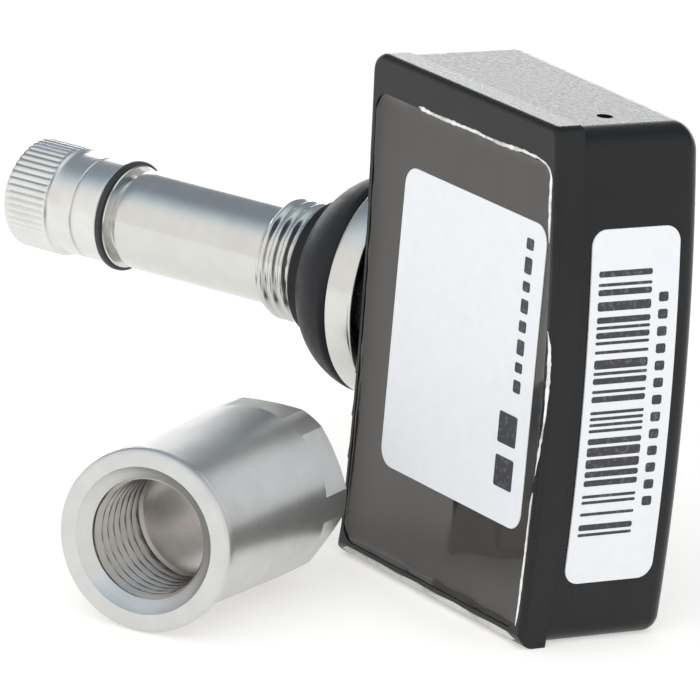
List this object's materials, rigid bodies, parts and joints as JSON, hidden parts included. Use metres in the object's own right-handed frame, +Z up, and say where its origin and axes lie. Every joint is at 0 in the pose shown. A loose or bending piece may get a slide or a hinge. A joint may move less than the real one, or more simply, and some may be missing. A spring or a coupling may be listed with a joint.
{
  "type": "tyre pressure sensor",
  "caption": "Clamp-in tyre pressure sensor: black potted plastic housing on a slanted aluminium valve stem with rubber grommet, knurled cap and a loose sleeve nut.",
  "frame": {"origin": "centre of the rim's valve hole, in the middle of the grommet neck on the stem axis", "axes": "-X runs outwards along the valve stem, +Z is up along the housing's height, the housing's open front looks to -Y"},
  "size_m": [0.0694, 0.0491, 0.0413],
  "materials": {
    "housing_plastic": "moulded, fine satin grain",
    "resin": "glossy cast surface",
    "label_film": "white film",
    "stem_aluminium": "turned, satin",
    "cap_aluminium": "turned and knurled",
    "nut_aluminium": "turned, satin anodised",
    "grommet_rubber": "smooth black rubber",
    "seal_rubber": "black rubber",
    "screw_steel": "zinc plated",
    "core_brass": "turned brass",
    "spring_steel": "drawn wire",
    "board_laminate": "solder resist",
    "battery_can": "nickel plated",
    "tab_nickel": "nickel strip",
    "chip_epoxy": "moulded epoxy",
    "crystal_can": "drawn can",
    "capacitor_body": "fired ceramic",
    "ferrite": "sintered",
    "copper_wire": "enamelled copper",
    "aerial_strip": "tinned bronze strip",
    "filter_film": "porous film"
  },
  "bodies": {
    "sensor": {"housing": "housing_plastic", "potting_resin": "resin", "front_label": "label_film", "end_label": "label_film", "circuit_board": "board_laminate", "battery_cell": "battery_can", "battery_tab_minus": "tab_nickel", "battery_tab_plus": "tab_nickel", "pressure_chip": "chip_epoxy", "controller_chip": "chip_epoxy", "quartz_crystal": "crystal_can", "chip_capacitors": "capacitor_body", "ferrite_core": "ferrite", "coil_winding": "copper_wire", "antenna_loop": "aerial_strip", "port_filter": "filter_film", "valve_stem": "stem_aluminium", "rim_grommet": "grommet_rubber", "collar_ring": "seal_rubber", "fixing_washer": "screw_steel", "fixing_screw": "screw_steel", "core_plug": "core_brass", "core_seal": "seal_rubber", "core_barrel": "core_brass", "core_spring": "spring_steel", "sleeve_nut": "nut_aluminium"},
    "valve_pin": {"core_pin": "core_brass", "core_poppet_seal": "seal_rubber"},
    "cap_carrier": {"cap_gasket": "seal_rubber"},
    "cap": {"valve_cap": "cap_aluminium"}
  },
  "joints": [
    {"name": "pin_press", "type": "slide", "parent": "sensor", "child": "valve_pin", "axis": [1, 0, 0], "range_m": [0, 0.0012], "stiffness_N_per_m": 1500, "deforming": ["core_spring"]},
    {"name": "cap_travel", "type": "slide", "parent": "sensor", "child": "cap_carrier", "axis": [-1, 0, 0], "range_m": [0, 0.00476]},
    {"name": "cap_turn", "type": "hinge", "parent": "cap_carrier", "child": "cap", "pos_m": [-0.025, 0, 0], "axis": [-1, 0, 0], "range_deg": [0, 2160]}
  ],
  "couplings": [
    {"joint": "cap_turn", "follows": "cap_travel", "rad_per_m": 7913.3}
  ]
}
